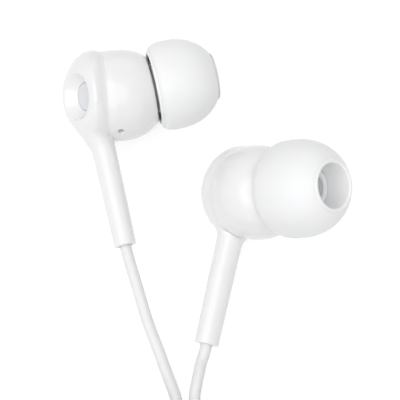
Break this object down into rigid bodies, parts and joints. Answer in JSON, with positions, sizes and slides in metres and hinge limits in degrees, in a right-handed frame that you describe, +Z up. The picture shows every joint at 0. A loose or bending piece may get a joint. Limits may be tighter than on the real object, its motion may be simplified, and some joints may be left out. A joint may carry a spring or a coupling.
{
  "type": "wired earphones",
  "caption": "In-ear earphones with round white housings, long stems, dome silicone tips, thin cords to a remote splitter, and a coiled cable with a straight round plug.",
  "frame": {"origin": "centre of the box round the two earbuds, cords and their pieces left out, at the table that the set lies on", "axes": "+Z up from the table, +Y from the stems' ends towards the housings, +X to the right with the stems towards the viewer"},
  "size_m": [0.0388, 0.1327, 0.0195],
  "materials": {
    "white_shell": "glossy moulded white",
    "ear_tip": "satin white silicone",
    "cord_jacket": "satin white soft jacket",
    "grey_disc": "glossy pale grey",
    "steel_mesh": "satin perforated",
    "steel": "plain",
    "magnet": "nickel plated magnet",
    "copper": "enamelled wire",
    "film": "thin plastic film",
    "dark_plastic": "matt black",
    "board": "green laminate",
    "plated_brass": "polished plating"
  },
  "bodies": {
    "set": {"right_nozzle_mesh": "steel_mesh", "right_front_shell": "white_shell", "right_rear_shell": "white_shell", "right_rear_disc": "grey_disc", "right_stem_bush": "cord_jacket", "right_cord_stop": "steel", "right_inner_cord": "cord_jacket", "right_driver_wires": "copper", "right_driver_frame": "dark_plastic", "right_driver_yoke": "steel", "right_driver_magnet": "magnet", "right_top_plate": "steel", "right_driver_cap": "dark_plastic", "left_nozzle_mesh": "steel_mesh", "left_front_shell": "white_shell", "left_rear_shell": "white_shell", "left_rear_disc": "grey_disc", "left_stem_bush": "cord_jacket", "left_cord_stop": "steel", "left_inner_cord": "cord_jacket", "left_driver_wires": "copper", "left_driver_frame": "dark_plastic", "left_driver_yoke": "steel", "left_driver_magnet": "magnet", "left_top_plate": "steel", "left_driver_cap": "dark_plastic", "right_lead": "cord_jacket", "right_lead_coil": "cord_jacket", "right_lead_end": "cord_jacket", "left_lead": "cord_jacket", "left_lead_coil": "cord_jacket", "left_lead_end": "cord_jacket", "splitter_front_shell": "white_shell", "splitter_back_shell": "white_shell", "control_board": "board", "button_switch": "steel", "microphone": "steel", "main_cable": "cord_jacket", "main_coil": "cord_jacket", "main_cable_end": "cord_jacket", "plug_relief": "cord_jacket", "plug_body": "white_shell", "plug_sleeve": "plated_brass", "plug_rings": "plated_brass", "plug_tip": "plated_brass", "plug_insulators": "dark_plastic"},
    "right_tip": {"right_ear_tip": "ear_tip"},
    "left_tip": {"left_ear_tip": "ear_tip"},
    "right_cone": {"right_voice_coil": "copper", "right_diaphragm": "film"},
    "left_cone": {"left_voice_coil": "copper", "left_diaphragm": "film"},
    "button": {"control_button": "white_shell"}
  },
  "joints": [
    {"name": "right_tip_pull", "type": "slide", "parent": "set", "child": "right_tip", "axis": [0.9689, 0.2416, -0.0525], "range_m": [0, 0.006]},
    {"name": "left_tip_pull", "type": "slide", "parent": "set", "child": "left_tip", "axis": [0.6148, -0.1662, 0.771], "range_m": [0, 0.006]},
    {"name": "right_cone_travel", "type": "slide", "parent": "set", "child": "right_cone", "axis": [0.9794, 0.1355, -0.1496], "range_m": [-0.0002, 0.0002], "stiffness_N_per_m": 300},
    {"name": "left_cone_travel", "type": "slide", "parent": "set", "child": "left_cone", "axis": [0.5173, -0.2633, 0.8143], "range_m": [-0.0002, 0.0002], "stiffness_N_per_m": 300},
    {"name": "button_press", "type": "slide", "parent": "set", "child": "button", "axis": [0, 0, -1], "range_m": [0, 0.00025], "stiffness_N_per_m": 2000}
  ]
}
